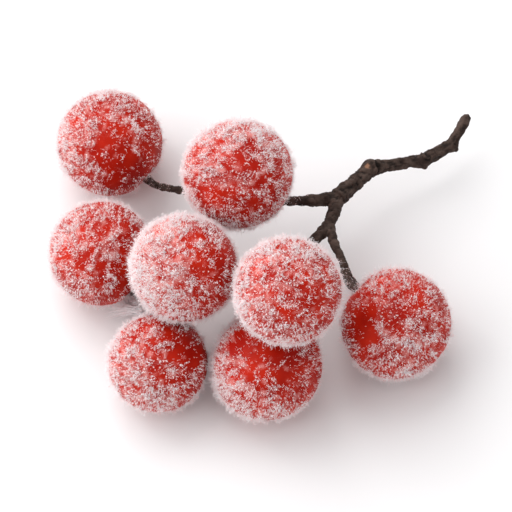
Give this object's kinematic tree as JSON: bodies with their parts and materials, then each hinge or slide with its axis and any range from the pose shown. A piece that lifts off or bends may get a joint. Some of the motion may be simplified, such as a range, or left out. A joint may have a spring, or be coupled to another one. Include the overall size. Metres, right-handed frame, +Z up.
{
  "type": "sprig of frosted red berries",
  "caption": "Sprig of round red berries with a coat of white frost, on a dark forked woody twig, lying on its berries.",
  "frame": {"origin": "bottom centre of the sprig's box, on the surface that it lies on", "axes": "+Z up, +X along the sprig from the berries towards the cut end of the twig"},
  "size_m": [0.0412, 0.0342, 0.0199],
  "materials": {
    "berry_skin": "ripe red skin, softly glossy where it is clear of frost",
    "bark": "dark brown rough bark with paler scars and rings",
    "frost": "loose white ice grains and fine needles"
  },
  "bodies": {
    "root": {"twig": "bark", "berry_back_left": "berry_skin", "berry_back_middle": "berry_skin", "berry_left": "berry_skin", "berry_upper_left": "berry_skin", "berry_upper_right": "berry_skin", "berry_front_left": "berry_skin", "berry_front_right": "berry_skin", "berry_right": "berry_skin"}
  },
  "joints": []
}
